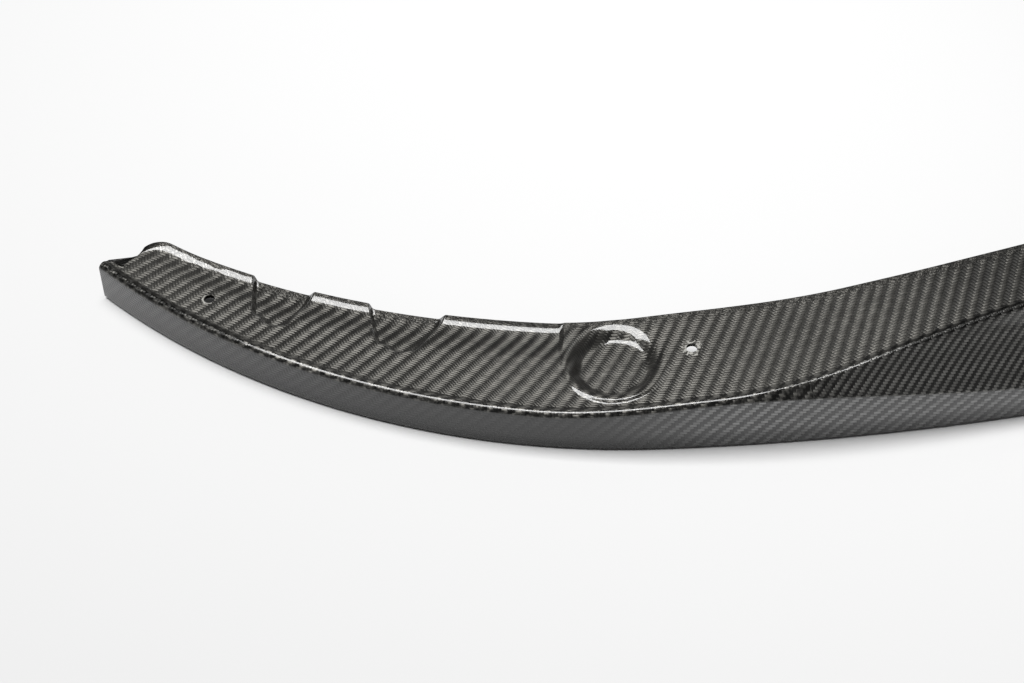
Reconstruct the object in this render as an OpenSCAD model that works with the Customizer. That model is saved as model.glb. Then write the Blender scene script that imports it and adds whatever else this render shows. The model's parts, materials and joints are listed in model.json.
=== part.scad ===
// Front splitter lip of a car, moulded in one piece as an open carbon fibre laminate.
// A drafted front wall stands on a flat return flange. Along both corners a rounded bead tops the
// wall and a shelf lies behind it, with pressed recesses, a round dish and the screw holes.
// Towards the nose the shelf climbs away from the wall over a hollow ramp.
// X runs across the car, the front edge faces -Y, and the flange stands on z = 0.

/* [Plan] */
// Radius of the front edge across the nose, seen from above
nose_r = 1500; // [1300:20:2000]
// Angle between the middle of the car and the end of the nose arc
nose_angle = 21.5; // [18:0.5:24]
// Radius of the front edge round each corner
corner_r = 467; // [430:1:540]
// Angle that each corner arc turns through
corner_angle = 43.8; // [41:0.1:50]
// Depth of the lip from front to back at the nose
nose_depth = 72; // [70:1:84]
// Depth of the lip from front to back at its tips
tip_depth = 39; // [37:0.5:44]
// Distance from the tip over which the lip grows to its full depth
taper_len = 340; // [320:5:380]
// Radius of the rear corner of each tip
tip_corner_r = 10.5; // [7:0.5:12]
// How far the shelf stops short of the end of the front wall
tip_setback = 10.5; // [8:0.5:12]

/* [Laminate] */
// Thickness of the laminate
skin_t = 2.5; // [1.8:0.1:2.8]
// Depth of the flange that turns in under the front wall
flange_depth = 18; // [12:0.5:26]
// Radius of the lower front edge
foot_r = 2.5; // [2:0.1:4]

/* [Front wall] */
// Height of the straight front wall along the corners
wall_h = 25; // [20:0.5:30]
// Height of the straight front wall at its highest place, the shoulder
shoulder_h = 36; // [33:0.5:42]
// Height of the straight front wall across the nose
nose_wall_h = 22; // [16:0.5:28]
// Draft of the front wall from the vertical
wall_draft = 2; // [0.5:0.25:5]
// Distance from the tip to the shoulder
shoulder_at = 416; // [400:2:432]
// Distance over which the wall rises from the corner to the shoulder
shoulder_run = 130; // [100:5:150]
// Distance over which the wall falls from the shoulder to the nose
nose_run = 200; // [160:5:240]
// Radius of the bead that tops the wall
bead_r = 3; // [2.9:0.1:4]
// Radius of the hollow behind the bead
hollow_r = 4; // [3:0.25:6]
// Slope of the back of the bead
bead_back = 40; // [20:1:50]

/* [Ramp] */
// Height that the shelf gains over the ramp
ramp_rise = 53; // [40:1:56]
// Distance from the tip to the outer end of the ramp
ramp_at = 386; // [374:2:402]
// Length of the ramp along the front edge
ramp_run = 320; // [290:5:360]
// Length of the soft start of the ramp
ramp_ease_in = 90; // [60:5:120]
// Length of the soft end of the ramp
ramp_ease_out = 170; // [120:5:170]
// Radius of the hollow face of the ramp
ramp_r = 90; // [86:1:120]
// Slope of the ramp's face where it leaves the wall
ramp_slope = 42; // [34:1:46]

/* [Rear edge of the corners] */
// Radius of the curl that stiffens the rear edge
curl_r = 11.5; // [9:0.25:13]
// Slope at the top of the curl
curl_slope = 40; // [30:1:46]
// How far the shelf dips in front of the curl
dip = 2; // [1:0.25:3]
// Distance from the tip over which that dip grows to its full depth
dip_run = 45; // [35:5:65]
// Distance from the tip to the step where the dip and the curl end
step_at = 298; // [292:1:301]
// Length of that step
step_len = 4; // [3:0.5:6]

/* [Recesses] */
// Distance from the tip to the middle of the outer recess at the rear edge
outer_recess_at = 104; // [101:0.5:108]
// Width of the outer recess at the rear edge
outer_recess_w = 49; // [42:0.5:52]
// Length of the outer recess from the rear edge forwards
outer_recess_len = 33; // [28:0.5:35]
// How far the nose of the outer recess sits inboard of its middle
outer_recess_skew = 11; // [6:0.5:12]
// Distance from the tip to the middle of the inner recess at the rear edge
inner_recess_at = 190.5; // [186:0.5:198]
// Width of the inner recess at the rear edge
inner_recess_w = 57; // [48:0.5:60]
// Length of the inner recess from the rear edge forwards
inner_recess_len = 34; // [29:0.5:38]
// How far the nose of the inner recess sits inboard of its middle
inner_recess_skew = 6.5; // [3:0.5:8]
// Width of the recesses at their noses
recess_nose_w = 23; // [19:1:26]
// Depth of the recesses below the shelf
recess_depth = 4.5; // [2:0.25:6]
// Width of the recess walls on the tip side
recess_wall_tip = 3.5; // [2:0.25:5]
// Width of the recess walls on the nose side
recess_wall_nose = 6; // [4:0.25:8]

/* [Dish and holes] */
// Distance from the tip to the middle of the dish
dish_at = 331.5; // [330:0.5:335]
// Distance from the front edge to the middle of the dish
dish_in = 39.5; // [39:0.5:41]
// Diameter of the raised ring round the dish
dish_d = 59; // [54:1:60]
// Diameter of the flat floor of the dish
dish_floor_d = 35; // [30:1:38]
// Depth of the dish
dish_depth = 5; // [3:0.25:6]
// Height of the ring above the shelf
dish_ring_h = 0.8; // [0.6:0.1:1.4]
// Distance from the tip to the outer screw hole
outer_hole_at = 72; // [66:0.5:74]
// Distance from the front edge to the outer screw hole
outer_hole_in = 21.5; // [19:0.5:24]
// Distance from the tip to the inner screw hole
inner_hole_at = 379; // [376:0.5:386]
// Distance from the front edge to the inner screw hole
inner_hole_in = 44.5; // [40:0.5:50]
// Diameter of the screw holes
hole_d = 6.5; // [5:0.1:8]

/* [Hidden] */
carbon = [0.16, 0.16, 0.15];

nose_len = nose_r * nose_angle * PI / 180;
half_len = nose_len + corner_r * corner_angle * PI / 180;
wall_slope = 90 - wall_draft;
// The bead's flat top, which keeps the two bends of the bead apart where there is no ramp
bead_flat = 0.3;
recess_at = [outer_recess_at, inner_recess_at];
recess_w = [outer_recess_w, inner_recess_w];
recess_len = [outer_recess_len, inner_recess_len];
recess_skew = [outer_recess_skew, inner_recess_skew];

// Steps of the section in the bead's bends, the ramp, the shelf and the curl
edge_steps = 2;
ramp_steps = 4;
crest_steps = 3;
back_steps = 2;
shelf_steps = 9;
curl_steps = 3;

// A share of a span, a step from 0 to 1 with level ends, and a value mixed between two others.
function unit(x) = min(1, max(0, x));
function ease(x) = let (u = unit(x)) u * u * (3 - 2 * u);
function mix(a, b, u) = a + (b - a) * u;

// The front edge of the right half from above, s millimetres from the middle of the car.
function heading(s) = s < nose_len ? s / nose_r * 180 / PI
    : nose_angle + (s - nose_len) / corner_r * 180 / PI;
function along_nose(a) = nose_r * [sin(a), 1 - cos(a)];
function along_corner(a) = corner_r * [sin(a) - sin(nose_angle), cos(nose_angle) - cos(a)];
function edge_point(s) = let (a = heading(s))
    s < nose_len ? along_nose(a) : along_nose(nose_angle) + along_corner(a);

// A place of the right half: s along the front edge, n in from it and z up.
function place(s, n, z) = let (p = edge_point(s), a = heading(s))
    [p.x - n * sin(a), p.y + n * cos(a), z];

// Heights and depths that change along the lip, where d is the distance from the tip.
function wall_top(d) = d < shoulder_at
    ? mix(shoulder_h, wall_h, ease((shoulder_at - d) / shoulder_run))
    : mix(shoulder_h, nose_wall_h, ease((d - shoulder_at) / nose_run));
function glide(x, run, a, b) = x <= 0 ? 0
    : x < a ? x * x / (2 * a)
    : x < run - b ? x - a / 2
    : run - (a + b) / 2 - pow(max(0, run - x), 2) / (2 * b);
function ramp_height(d) = bead_flat + ramp_rise
    * glide(d - ramp_at, ramp_run, ramp_ease_in, ramp_ease_out)
    / glide(ramp_run, ramp_run, ramp_ease_in, ramp_ease_out);
function ramp_end_slope(d) = acos(cos(ramp_slope) - ramp_height(d) / ramp_r);
function tip_round(d) = let (x = unit((tip_setback + tip_corner_r - d) / tip_corner_r))
    tip_corner_r * (1 - sqrt(1 - x * x));
function depth_at(d) = mix(tip_depth, nose_depth, sin(90 * unit(d / taper_len))) - tip_round(d);
function curl_angle(d) = max(1, curl_slope * ease((step_at + step_len / 2 - d) / step_len));

// The recesses: how far the shelf is pressed in at a place.
function nose_n(k) = depth_at(recess_at[k]) - recess_len[k];
function recess_share(k, n) = unit((n - nose_n(k)) / recess_len[k]);
function recess_side(k, u, side) = recess_at[k] + mix(recess_skew[k], 0, u)
    + side * mix(recess_nose_w, recess_w[k], u) / 2;
function recess_front(k, d) =
    let (u = unit(abs(d - recess_at[k] - recess_skew[k]) * 2 / recess_nose_w))
    nose_n(k) + recess_nose_w / 2 * (1 - sqrt(1 - u * u));
function press_share(k, d, n) = let (u = recess_share(k, n))
    ease((d - recess_side(k, u, -1)) / recess_wall_tip)
    * ease((recess_side(k, u, 1) - d) / recess_wall_nose)
    * ease((n - recess_front(k, d)) / recess_wall_nose);
function pressed(d, n) = recess_depth * (press_share(0, d, n) + press_share(1, d, n));

// A point of a section is [n, z, slope]. An over bend turns downwards and a hollow bend upwards.
function over_bend(p, r, slope, steps) = [for (k = [1:steps]) let (a = mix(p[2], slope, k / steps))
    [p[0] + r * (sin(p[2]) - sin(a)), p[1] + r * (cos(a) - cos(p[2])), a]];
function hollow_bend(p, r, slope, steps) = [for (k = [1:steps]) let (a = mix(p[2], slope, k / steps))
    [p[0] + r * (sin(a) - sin(p[2])), p[1] + r * (cos(p[2]) - cos(a)), a]];
function last(points) = points[len(points) - 1];

// The flange and the foot of the wall
function foot() = [
    [flange_depth, 0, 180],
    [foot_r, 0, 180],
    [foot_r * (1 - sin(45)), foot_r * (1 - cos(45)), 135],
    [foot_r * (1 - cos(wall_draft)), foot_r * (1 + sin(wall_draft)), wall_slope]];

// The top of the wall, the ramp and the bead, up to where the shelf starts
function bead(d) =
    let (
        top = [(wall_top(d) - foot_r) * tan(wall_draft), wall_top(d), wall_slope],
        edge = over_bend(top, bead_r, ramp_slope, edge_steps),
        ramp = hollow_bend(last(edge), ramp_r, ramp_end_slope(d), ramp_steps),
        crest = over_bend(last(ramp), bead_r, -bead_back, crest_steps),
        back = hollow_bend(last(crest), hollow_r, 0, back_steps)
    )
    [top, each edge, each ramp, each crest, each back];

// The shelf between the bead and the rear edge, at the share u of its depth
function shelf_far(d) =
    let (a = curl_angle(d)) depth_at(d) - (curl_r * curl_slope / a + skin_t) * sin(a);
function plain_shelf(d, u) =
    let (
        front = last(bead(d)),
        dipped = dip * ease(d / dip_run) * ease(2.5 * u - 1.5) * curl_angle(d) / curl_slope
    )
    [mix(front[0], shelf_far(d), u), front[1] - dipped, 0];
function press_in(d, p) = [p[0], p[1] - pressed(d, p[0]), p[2]];
function shelf_point(d, u) = press_in(d, plain_shelf(d, u));

// A step of the curl, which opens out into the flat rear edge beyond the step of the shelf
function curl_point(d, k) =
    let (a = curl_angle(d))
    press_in(d, hollow_bend(plain_shelf(d, 1), curl_r * curl_slope / a, a, curl_steps)[k]);

// Lines that the sections follow, from the tip to the middle of the car. Each is the distance from
// the tip at the bead and at the rear edge, the shares of the shelf between which it leans over,
// and the number of sections up to the next line. The rear edge has a share of more than 1.
function share_of(d, n) = let (front = last(bead(d))[0]) (n - front) / (shelf_far(d) - front);
function rim_share(d) = share_of(d, depth_at(d));
function recess_line(k, side, inset, count) =
    let (front = recess_side(k, 0, side) - side * inset, rear = recess_side(k, 1, side) - side * inset)
    [front, rear, share_of(front, nose_n(k)), share_of(rear, depth_at(recess_at[k])), count];
function straight_line(d, count) = [d, d, 0, 1, count];
lines = [
    [0, tip_setback, 0, 0.1, 7],
    straight_line(tip_setback + tip_corner_r + 2, 4),
    recess_line(0, -1, 0, 3),
    recess_line(0, -1, recess_wall_tip, 5),
    recess_line(0, 1, recess_wall_nose, 3),
    recess_line(0, 1, 0, 3),
    recess_line(1, -1, 0, 3),
    recess_line(1, -1, recess_wall_tip, 5),
    recess_line(1, 1, recess_wall_nose, 3),
    recess_line(1, 1, 0, 4),
    straight_line(step_at - step_len / 2, 2),
    straight_line(step_at + step_len / 2, 6),
    straight_line(ramp_at, 6),
    straight_line(ramp_at + ramp_ease_in, 12),
    straight_line(ramp_at + ramp_run, 5),
    straight_line(half_len, 1)];
half_stations = [
    for (k = [0:len(lines) - 2]) for (i = [0:lines[k][4] - 1]) mix(lines[k], lines[k + 1], i / lines[k][4]),
    lines[len(lines) - 1]];
function leaning(line, u) = mix(line[0], line[1], unit((u - line[2]) / (line[3] - line[2])));

// The outer face of the section on a line, as [d, n, z, slope]
function on_line(d, points) = [for (p = points) [d, each p]];
function outer_face(line) =
    let (d = leaning(line, 0), rim = rim_share(leaning(line, 1)))
    [
        each on_line(d, foot()),
        each on_line(d, bead(d)),
        for (k = [1:shelf_steps]) let (u = k / shelf_steps, at = leaning(line, u))
            [at, each shelf_point(at, u)],
        for (k = [1:curl_steps]) let (at = leaning(line, mix(1, rim, k / curl_steps)))
            [at, each curl_point(at, k - 1)]
    ];

// The inner face lies one thickness inside, and its tight bends share one point.
bead_from = len(foot());
ramp_from = bead_from + edge_steps;
crest_from = ramp_from + ramp_steps;
shelf_from = crest_from + crest_steps + back_steps;
curl_from = shelf_from + shelf_steps;
outer_count = curl_from + curl_steps + 1;
mates = [0, 2, ramp_from, ramp_from + 2, crest_from, crest_from + crest_steps,
    for (k = [shelf_from:curl_from]) k, outer_count - 1];
mate_count = len(mates);
ring_count = outer_count + mate_count;
mate_of = [for (i = [0:outer_count - 1]) max([for (k = [0:mate_count - 1]) mates[k] <= i ? k : 0])];
function inner_point(p) = [p[0], p[1] + skin_t * sin(p[3]), p[2] - skin_t * cos(p[3])];

// One closed ring of the shell, on the right half (side 1) or the left half (side -1)
function ring(line, side) =
    let (
        outer = outer_face(line),
        inner = [for (k = [mate_count - 1:-1:0]) inner_point(outer[mates[k]])],
        points = [for (p = [each outer, each inner]) place(half_len - p[0], p[1], p[2])]
    )
    [for (p = points) [side * p.x, p.y, p.z]];

right_rings = [for (line = half_stations) ring(line, 1)];
half_count = len(half_stations);
rings = [
    for (k = [0:half_count - 1]) [for (p = right_rings[k]) [-p.x, p.y, p.z]],
    for (k = [half_count - 2:-1:0]) right_rings[k]];
points = [for (r = rings) each r];
mid_y = max([for (p = points) p.y]) / 2;

function side_faces(a, b) = [for (i = [0:ring_count - 1]) let (j = (i + 1) % ring_count)
    each [[a + i, a + j, b + j], [a + i, b + j, b + i]]];
function inner_index(i) = ring_count - 1 - mate_of[i];
function end_faces(a) = [for (i = [0:outer_count - 2])
    let (m = inner_index(i), n = inner_index(i + 1))
    each [[a + i, a + n, a + i + 1], if (m != n) [a + i, a + m, a + n]]];
function flipped(faces) = [for (f = faces) [f[0], f[2], f[1]]];

module shell() {
    last_ring = (len(rings) - 1) * ring_count;
    polyhedron(
        points = points,
        faces = [
            each end_faces(0),
            for (k = [0:len(rings) - 2]) each side_faces(k * ring_count, (k + 1) * ring_count),
            each flipped(end_faces(last_ring))]);
}

// Puts its children on the shelf, d from the tip and n in from the front edge, with X along the lip.
module on_shelf(d, n, z, tilt) {
    at = place(half_len - d, n, z);
    translate(at) rotate([0, 0, heading(half_len - d)]) rotate([0, tilt, 0]) children();
}

function shelf_height(d, n) = shelf_point(d, share_of(d, n))[1];

module hole(d, n) {
    z = shelf_height(d, n);
    on_shelf(d, n, z, 0) cylinder(d = hole_d, h = 6 * skin_t, center = true, $fn = 48);
}

// The dish is pressed with a raised ring, whose edge runs out inside the laminate.
ring_w = 3;
ring_r = dish_d / 2;
dish_floor_r = dish_floor_d / 2;
dish_reach = ring_r - ring_w;
dish_far = shelf_height(dish_at + dish_reach, dish_in);
dish_near = shelf_height(dish_at - dish_reach, dish_in);
dish_middle = shelf_height(dish_at, dish_in);
dish_z = (dish_far + 2 * dish_middle + dish_near) / 4;
dish_tilt = atan((dish_far - dish_near) / (2 * dish_reach * (1 - dish_in / corner_r)));

module dish() {
    wall_r = ring_r - 1.5 * ring_w;
    rotate_extrude($fn = 96)
        polygon([
            [0, -dish_depth - skin_t],
            [dish_floor_r - 0.5, -dish_depth - skin_t],
            [wall_r - 0.5, -skin_t - 0.6],
            [ring_r - 0.6 * ring_w, -skin_t - 0.6],
            [ring_r, -skin_t + 0.7],
            [ring_r, -0.9],
            [ring_r - 0.5 * ring_w, 0.7 * dish_ring_h],
            [ring_r - ring_w, dish_ring_h],
            [wall_r, 0.5 * dish_ring_h],
            [wall_r - 1, -0.2 * dish_depth],
            [dish_floor_r + 1.2, -0.9 * dish_depth],
            [dish_floor_r, -dish_depth],
            [0, -dish_depth]]);
}

module right_holes() {
    hole(outer_hole_at, outer_hole_in);
    hole(inner_hole_at, inner_hole_in);
}

module right_dish() {
    on_shelf(dish_at, dish_in, dish_z, dish_tilt) dish();
}

module right_dish_opening() {
    on_shelf(dish_at, dish_in, dish_z, dish_tilt)
        cylinder(r = ring_r - 0.6 * ring_w, h = 8 * skin_t, center = true, $fn = 96);
}

module both_sides() {
    children();
    mirror([1, 0, 0]) children();
}

module splitter_lip() {
    color(carbon) translate([0, -mid_y, 0]) {
        difference() {
            shell();
            both_sides() right_holes();
            both_sides() right_dish_opening();
        }
        both_sides() right_dish();
    }
}

splitter_lip();
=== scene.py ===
import json
import math

import bmesh
import bpy
import numpy as np
from mathutils import Matrix, Vector

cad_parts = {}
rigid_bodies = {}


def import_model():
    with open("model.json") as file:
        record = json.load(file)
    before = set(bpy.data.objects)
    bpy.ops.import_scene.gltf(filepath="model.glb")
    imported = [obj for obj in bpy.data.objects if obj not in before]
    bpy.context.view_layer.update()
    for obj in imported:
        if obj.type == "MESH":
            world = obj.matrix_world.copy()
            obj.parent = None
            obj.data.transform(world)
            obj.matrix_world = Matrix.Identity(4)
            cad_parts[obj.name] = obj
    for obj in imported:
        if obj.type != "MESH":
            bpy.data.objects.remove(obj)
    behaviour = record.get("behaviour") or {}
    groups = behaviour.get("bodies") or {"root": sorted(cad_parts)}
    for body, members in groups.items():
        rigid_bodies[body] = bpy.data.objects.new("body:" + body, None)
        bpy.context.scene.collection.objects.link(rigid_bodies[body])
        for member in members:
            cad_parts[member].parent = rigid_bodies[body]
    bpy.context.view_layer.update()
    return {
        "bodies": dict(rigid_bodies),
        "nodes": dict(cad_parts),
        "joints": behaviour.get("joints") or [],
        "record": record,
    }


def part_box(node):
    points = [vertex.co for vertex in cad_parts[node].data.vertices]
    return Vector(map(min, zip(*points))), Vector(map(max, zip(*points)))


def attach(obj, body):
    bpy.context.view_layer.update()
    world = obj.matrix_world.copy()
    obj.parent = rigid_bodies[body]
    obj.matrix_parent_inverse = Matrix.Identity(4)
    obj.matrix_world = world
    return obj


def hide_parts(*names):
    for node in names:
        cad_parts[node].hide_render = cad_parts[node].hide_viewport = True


MM = 0.001
IMAGE_W = 1024

# Plan
NOSE_R = 1500.0
NOSE_ANGLE = math.radians(21.5)
CORNER_R = 467.0
CORNER_ANGLE = math.radians(43.8)
NOSE_DEPTH = 72.0
TIP_DEPTH = 39.0
TAPER_LEN = 340.0
TIP_CORNER_R = 10.5
TIP_SETBACK = 10.5
NOSE_LEN = NOSE_R * NOSE_ANGLE
HALF_LEN = NOSE_LEN + CORNER_R * CORNER_ANGLE

# Laminate
SKIN_T = 2.5
FLANGE_DEPTH = 18.0
FOOT_R = 2.5
FLANGE_MIDDLE = 6.0
FOOT_STEPS = 6
WALL_STEPS = 5
EDGE_BREAK = 0.35

# Front wall and bead
WALL_H = 25.0
SHOULDER_H = 36.0
NOSE_WALL_H = 22.0
WALL_DRAFT = math.radians(2)
SHOULDER_AT = 416.0
SHOULDER_RUN = 130.0
NOSE_RUN = 200.0
BEAD_R = 3.0
HOLLOW_R = 4.0
BEAD_BACK = math.radians(40)
BEAD_FLAT = 0.3

# Ramp
RAMP_RISE = 53.0
RAMP_AT = 386.0
RAMP_RUN = 320.0
RAMP_EASE_IN = 90.0
RAMP_EASE_OUT = 170.0
RAMP_R = 90.0
RAMP_SLOPE = math.radians(42)

# Rear edge
CURL_R = 11.5
CURL_SLOPE = math.radians(40)
DIP = 2.0
DIP_RUN = 45.0
DIP_FROM = 0.6
STEP_AT = 298.0
STEP_LEN = 4.0

# Recesses: distance from the tip, width, length and lean of the outer and the inner one
RECESS_AT = (104.0, 190.5)
RECESS_W = (49.0, 57.0)
RECESS_LEN = (33.0, 34.0)
RECESS_SKEW = (11.0, 6.5)
RECESS_NOSE_W = 23.0
RECESS_DEPTH = 4.5
RECESS_WALL_TIP = 3.5
RECESS_WALL_NOSE = 6.0
RECESS_LEVEL = 0.85
RECESS_ROUND = 0.65

# Dish and holes
DISH_AT = 331.5
DISH_IN = 39.5
RING_R = 29.5
RING_W = 3.0
RING_H = 0.8
DISH_FLOOR_R = 17.5
DISH_DEPTH = 5.0
DISH_CREST = 29.0
DISH_CREST_SHIFT = 2.2
DISH_STEEP = 0.65
DISH_FRONT = (0.444, -0.896)
DISH_LEVEL = 0.8
DISH_LEVEL_R = 22.0
DISH_LEVEL_RUN = 9.0
OUTER_HOLE = (72.0, 21.5)
INNER_HOLE = (379.0, 44.5)
HOLE_R = 3.25

# Cloth: width of a tow, and the number of tows that marks the sheet over the wall and the bead
TOW = 2.0
FRONT_SHIFT = 4000.0
FAR_FROM_CREST = 99.0
SHELF_MIDDLE = 35.0

# Tows: direction in plan of the lengthwise ones at the corner, where they turn to follow the lip,
# how many degrees the crosswise ones lean at distances from the tip, and how they lean on the wall
TOW_PLAN = math.radians(-40.5)
TOW_TURN_AT = 240.0
TOW_TURN_RUN = 160.0
LEAN_AT = (62.0, 155.0, 245.0, 440.0, 560.0, HALF_LEN)
LEAN = (50.0, 43.0, 40.0, 33.0, 28.0, 0.0)
WALL_LEAN = math.radians(100)

# Holes and smoothing: how near a vertex lies to the outer face to take its normal
HOLE_SEGMENTS = 64
CUTTER_H = 20.0
SHARP_FROM = math.radians(34)
NORMAL_STEP = 0.05
ON_TOP_WITHIN = 0.03
SAME_WAY = 0.8


def unit(x):
    return np.clip(x, 0.0, 1.0)


def ease(x):
    u = unit(x)
    return u * u * (3 - 2 * u)


def mix(a, b, u):
    return a + (b - a) * u


def heading(s):
    return np.where(s < NOSE_LEN, s / NOSE_R, NOSE_ANGLE + (s - NOSE_LEN) / CORNER_R)


def place(s, n):
    """The plan place of the right half, s from the middle of the car and n in from the front edge."""
    a = heading(s)
    on_nose = s < NOSE_LEN
    x_end, y_end = NOSE_R * math.sin(NOSE_ANGLE), NOSE_R * (1 - math.cos(NOSE_ANGLE))
    x = np.where(on_nose, NOSE_R * np.sin(a), x_end + CORNER_R * (np.sin(a) - math.sin(NOSE_ANGLE)))
    y = np.where(on_nose, NOSE_R * (1 - np.cos(a)), y_end + CORNER_R * (math.cos(NOSE_ANGLE) - np.cos(a)))
    return x - n * np.sin(a), y + n * np.cos(a)


def wall_top(d):
    outer = mix(SHOULDER_H, WALL_H, ease((SHOULDER_AT - d) / SHOULDER_RUN))
    inner = mix(SHOULDER_H, NOSE_WALL_H, ease((d - SHOULDER_AT) / NOSE_RUN))
    return np.where(d < SHOULDER_AT, outer, inner)


def glide(x):
    run, a, b = RAMP_RUN, RAMP_EASE_IN, RAMP_EASE_OUT
    start = x * x / (2 * a)
    end = run - (a + b) / 2 - np.maximum(0, run - x) ** 2 / (2 * b)
    return np.where(x <= 0, 0.0, np.where(x < a, start, np.where(x < run - b, x - a / 2, end)))


def ramp_height(d):
    return BEAD_FLAT + RAMP_RISE * glide(d - RAMP_AT) / glide(np.array(RAMP_RUN))


def depth_at(d):
    x = unit((TIP_SETBACK + TIP_CORNER_R - d) / TIP_CORNER_R)
    full = mix(TIP_DEPTH, NOSE_DEPTH, np.sin(math.pi / 2 * unit(d / TAPER_LEN)))
    return full - TIP_CORNER_R * (1 - np.sqrt(1 - x * x))


def curl_angle(d):
    return np.maximum(math.radians(1), CURL_SLOPE * ease((STEP_AT + STEP_LEN / 2 - d) / STEP_LEN))


def recess_side(k, u, side):
    """Where a side of a recess lies, from its nose at u = 0 to the rear edge at u = 1."""
    middle = RECESS_AT[k] + mix(RECESS_SKEW[k], 0.0, u)
    return middle + side * mix(RECESS_NOSE_W, RECESS_W[k], u) / 2


def recess_nose(k):
    return float(depth_at(np.array(RECESS_AT[k]))) - RECESS_LEN[k]


def pressed(d, n):
    """How far the two recesses press the shelf in."""
    total = 0.0
    for k in range(len(RECESS_AT)):
        u = unit((n - recess_nose(k)) / RECESS_LEN[k])
        across = np.clip(np.abs(d - RECESS_AT[k] - RECESS_SKEW[k]) * 2 / RECESS_NOSE_W, 0.0, RECESS_ROUND)
        front = recess_nose(k) + RECESS_NOSE_W / 2 * (1 - np.sqrt(1 - across * across))
        tip_wall = ease((d - recess_side(k, u, -1)) / RECESS_WALL_TIP)
        nose_wall = ease((recess_side(k, u, 1) - d) / RECESS_WALL_NOSE)
        total = total + tip_wall * nose_wall * ease((n - front) / RECESS_WALL_NOSE)
    return RECESS_DEPTH * total


def over_bend(p, r, slope, steps):
    n, z, a = p
    out = []
    for k in range(1, steps + 1):
        b = mix(a, slope, k / steps)
        out.append((n + r * (np.sin(a) - np.sin(b)), z + r * (np.cos(b) - np.cos(a)), b))
    return out


def hollow_bend(p, r, slope, steps):
    n, z, a = p
    out = []
    for k in range(1, steps + 1):
        b = mix(a, slope, k / steps)
        out.append((n + r * (np.sin(b) - np.sin(a)), z + r * (np.cos(a) - np.cos(b)), b))
    return out


EDGE_STEPS = 5
RAMP_STEPS = 14
CREST_STEPS = 8
BACK_STEPS = 5
SHELF_STEPS = 60
CURL_STEPS = 8


def wall_and_bead(d):
    """Points [n, z, slope] from the top of the wall, over the ramp and the bead, to the shelf."""
    zero = 0.0 * d
    top = ((wall_top(d) - FOOT_R) * math.tan(WALL_DRAFT), wall_top(d), zero + math.pi / 2 - WALL_DRAFT)
    edge = over_bend(top, BEAD_R, RAMP_SLOPE, EDGE_STEPS)
    ramp_end = np.arccos(math.cos(RAMP_SLOPE) - ramp_height(d) / RAMP_R)
    ramp = hollow_bend(edge[-1], RAMP_R, ramp_end, RAMP_STEPS)
    crest = over_bend(ramp[-1], BEAD_R, -BEAD_BACK, CREST_STEPS)
    back = hollow_bend(crest[-1], HOLLOW_R, 0.0, BACK_STEPS)
    return [top] + edge + ramp + crest + back


def foot(d):
    """Points [n, z, slope] from the flange's edge, round the foot, to just under the wall's top."""
    zero = 0.0 * d
    points = [(zero + n, zero, zero + math.pi) for n in (FLANGE_DEPTH, FLANGE_MIDDLE)]
    for k in range(FOOT_STEPS + 1):
        a = mix(math.pi, math.pi / 2 - WALL_DRAFT, k / FOOT_STEPS)
        points.append((zero + FOOT_R * (1 - math.sin(a)), zero + FOOT_R * (1 + math.cos(a)), zero + a))
    base_n, base_z, base_a = points[-1]
    rise = wall_top(d) - base_z
    for k in range(1, WALL_STEPS):
        up = rise * k / WALL_STEPS
        points.append((base_n + up * math.tan(WALL_DRAFT), base_z + up, base_a))
    return points


def shelf_far(d):
    a = curl_angle(d)
    return depth_at(d) - (CURL_R * CURL_SLOPE / a + SKIN_T) * np.sin(a)


def shelf_height(d, n, level=0.0):
    """Height of the outer face from the bead's back to the rear edge, without the dish."""
    front_n, front_z, _ = wall_and_bead(d)[-1]
    far = shelf_far(d)
    bend = curl_angle(d)
    radius = CURL_R * CURL_SLOPE / bend
    rise = radius - np.sqrt(radius ** 2 - np.clip(n - far, 0.0, 0.9 * radius) ** 2)
    back = ease(((n - front_n) / (far - front_n) - DIP_FROM) / (1 - DIP_FROM))
    dip = DIP * ease(d / DIP_RUN) * back * bend / CURL_SLOPE
    recess = pressed(d, n)
    return front_z - dip + rise * (1 - level * recess / RECESS_DEPTH) - recess


def shelf_at(d, n):
    return float(shelf_height(np.array(float(d)), np.array(float(n))))


DISH_REACH = RING_R - RING_W
DISH_NEAR = shelf_at(DISH_AT - DISH_REACH, DISH_IN)
DISH_FAR = shelf_at(DISH_AT + DISH_REACH, DISH_IN)
DISH_Z = (DISH_NEAR + 2 * shelf_at(DISH_AT, DISH_IN) + DISH_FAR) / 4
DISH_GRADE = (DISH_NEAR - DISH_FAR) / (2 * DISH_REACH * (1 - DISH_IN / CORNER_R))
DISH_TURN = float(heading(np.array(HALF_LEN - DISH_AT)))


def round_dish(d, n):
    """A place as its distances along the lip and from the dish's middle, and how far it faces the front."""
    x, y = place(HALF_LEN - d, n)
    cx, cy = place(np.array(HALF_LEN - DISH_AT), DISH_IN)
    along = (x - cx) * math.cos(DISH_TURN) + (y - cy) * math.sin(DISH_TURN)
    back = (y - cy) * math.cos(DISH_TURN) - (x - cx) * math.sin(DISH_TURN)
    r = np.hypot(along, back)
    facing = (DISH_FRONT[0] * along + DISH_FRONT[1] * back) / np.maximum(r, 1e-6)
    return along, r, facing


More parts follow.
